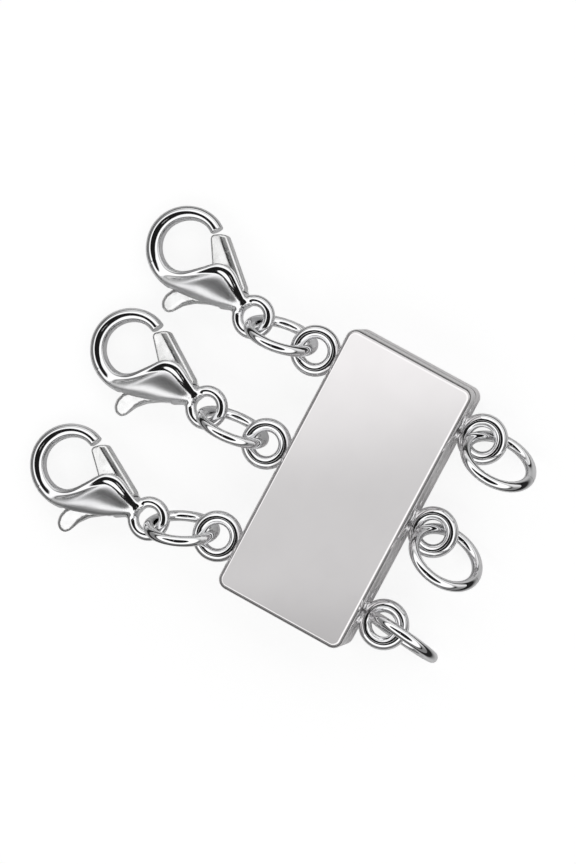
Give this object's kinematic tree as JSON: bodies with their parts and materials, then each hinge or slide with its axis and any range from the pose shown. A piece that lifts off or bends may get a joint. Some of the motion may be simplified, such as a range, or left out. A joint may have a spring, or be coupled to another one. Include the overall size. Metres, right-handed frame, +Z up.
{
  "type": "three-strand magnetic clasp",
  "caption": "Flat rectangular jewellery clasp in two stacked halves, with spring claw clasps on links along one side and jump rings along the other.",
  "frame": {"origin": "middle of the lower half's flat underside", "axes": "+X from the claw side to the jump ring side, +Y along the row of strands, +Z up"},
  "size_m": [0.0346, 0.0263, 0.006],
  "materials": {
    "case_metal": "mirror-polished rhodium-coloured plate on die-cast alloy",
    "ring_wire": "bright plated round wire",
    "claw_casting": "polished and plated casting",
    "lever_metal": "polished and plated, with a softer brushed gate",
    "magnet_nickel": "nickel-plated disc magnet"
  },
  "bodies": {
    "root": {"lower_half": "case_metal", "lower_magnet_1": "magnet_nickel", "lower_magnet_2": "magnet_nickel", "jump_ring_1": "ring_wire", "jump_ring_2": "ring_wire", "jump_ring_3": "ring_wire"},
    "upper": {"upper_half": "case_metal", "upper_magnet_1": "magnet_nickel", "upper_magnet_2": "magnet_nickel", "link_ring_1": "ring_wire", "link_ring_2": "ring_wire", "link_ring_3": "ring_wire", "claw_body_1": "claw_casting", "claw_body_2": "claw_casting", "claw_body_3": "claw_casting"},
    "lever_1": {"claw_lever_1": "lever_metal"},
    "lever_2": {"claw_lever_2": "lever_metal"},
    "lever_3": {"claw_lever_3": "lever_metal"}
  },
  "joints": [
    {"name": "case_lift", "type": "slide", "parent": "root", "child": "upper", "axis": [0, 0, 1], "range_m": [0, 0.005]},
    {"name": "lever_pivot_1", "type": "hinge", "parent": "upper", "child": "lever_1", "pos_m": [-0.01564, 0.00813, 0.00181], "axis": [-0.1596, 0.0485, 0.986], "range_deg": [0, 25], "stiffness_Nm_per_rad": 0.01, "springref_deg": -11.46},
    {"name": "lever_pivot_2", "type": "hinge", "parent": "upper", "child": "lever_2", "pos_m": [-0.01562, 0.00004, 0.00181], "axis": [-0.1651, 0.0232, 0.986], "range_deg": [0, 25], "stiffness_Nm_per_rad": 0.01, "springref_deg": -11.46},
    {"name": "lever_pivot_3", "type": "hinge", "parent": "upper", "child": "lever_3", "pos_m": [-0.01557, -0.00948, 0.00181], "axis": [-0.1662, 0.0134, 0.986], "range_deg": [0, 25], "stiffness_Nm_per_rad": 0.01, "springref_deg": -11.46}
  ]
}
